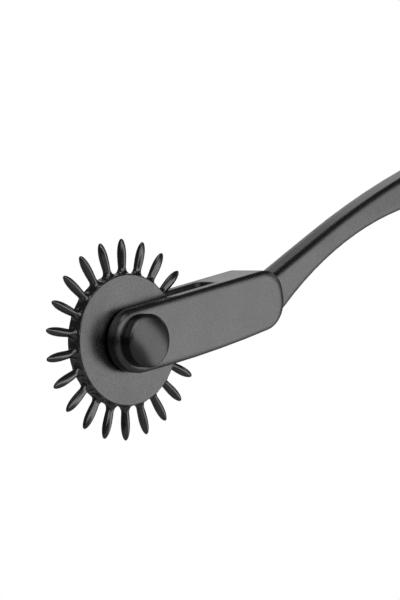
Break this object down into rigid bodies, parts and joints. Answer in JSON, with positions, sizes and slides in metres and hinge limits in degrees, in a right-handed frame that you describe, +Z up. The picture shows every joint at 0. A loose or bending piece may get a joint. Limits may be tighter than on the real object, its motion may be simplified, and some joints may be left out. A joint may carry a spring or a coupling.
{
  "type": "neurological pinwheel",
  "caption": "Hand-held sensory testing wheel: blunt radial pins set round a disc that spins freely on a headed axle in a slotted fork, on a bent flat handle.",
  "frame": {"origin": "centre of the wheel, on the axle's axis, midway between the fork's arms", "axes": "+Y along the axle, +X from the wheel along the fork to the grip, +Z up, the side to which the neck bends"},
  "size_m": [0.18, 0.0116, 0.0321],
  "materials": {
    "handle_metal": "satin black-nickel plating over steel, soft and even",
    "disc_metal": "satin black-nickel plating, finely grained faces",
    "pin_metal": "black-nickel plating, slightly glossier than the disc",
    "axle_metal": "satin black-nickel plating, smooth crowned heads"
  },
  "bodies": {
    "handle": {"handle": "handle_metal", "axle_pin": "axle_metal", "axle_cap": "axle_metal"},
    "wheel": {"wheel_disc": "disc_metal", "pin_01": "pin_metal", "pin_02": "pin_metal", "pin_03": "pin_metal", "pin_04": "pin_metal", "pin_05": "pin_metal", "pin_06": "pin_metal", "pin_07": "pin_metal", "pin_08": "pin_metal", "pin_09": "pin_metal", "pin_10": "pin_metal", "pin_11": "pin_metal", "pin_12": "pin_metal", "pin_13": "pin_metal", "pin_14": "pin_metal", "pin_15": "pin_metal", "pin_16": "pin_metal", "pin_17": "pin_metal", "pin_18": "pin_metal", "pin_19": "pin_metal", "pin_20": "pin_metal", "pin_21": "pin_metal", "pin_22": "pin_metal"}
  },
  "joints": [
    {"name": "wheel_spin", "type": "hinge", "parent": "handle", "child": "wheel", "pos_m": [0, 0, 0], "axis": [0, 1, 0], "continuous": true}
  ]
}
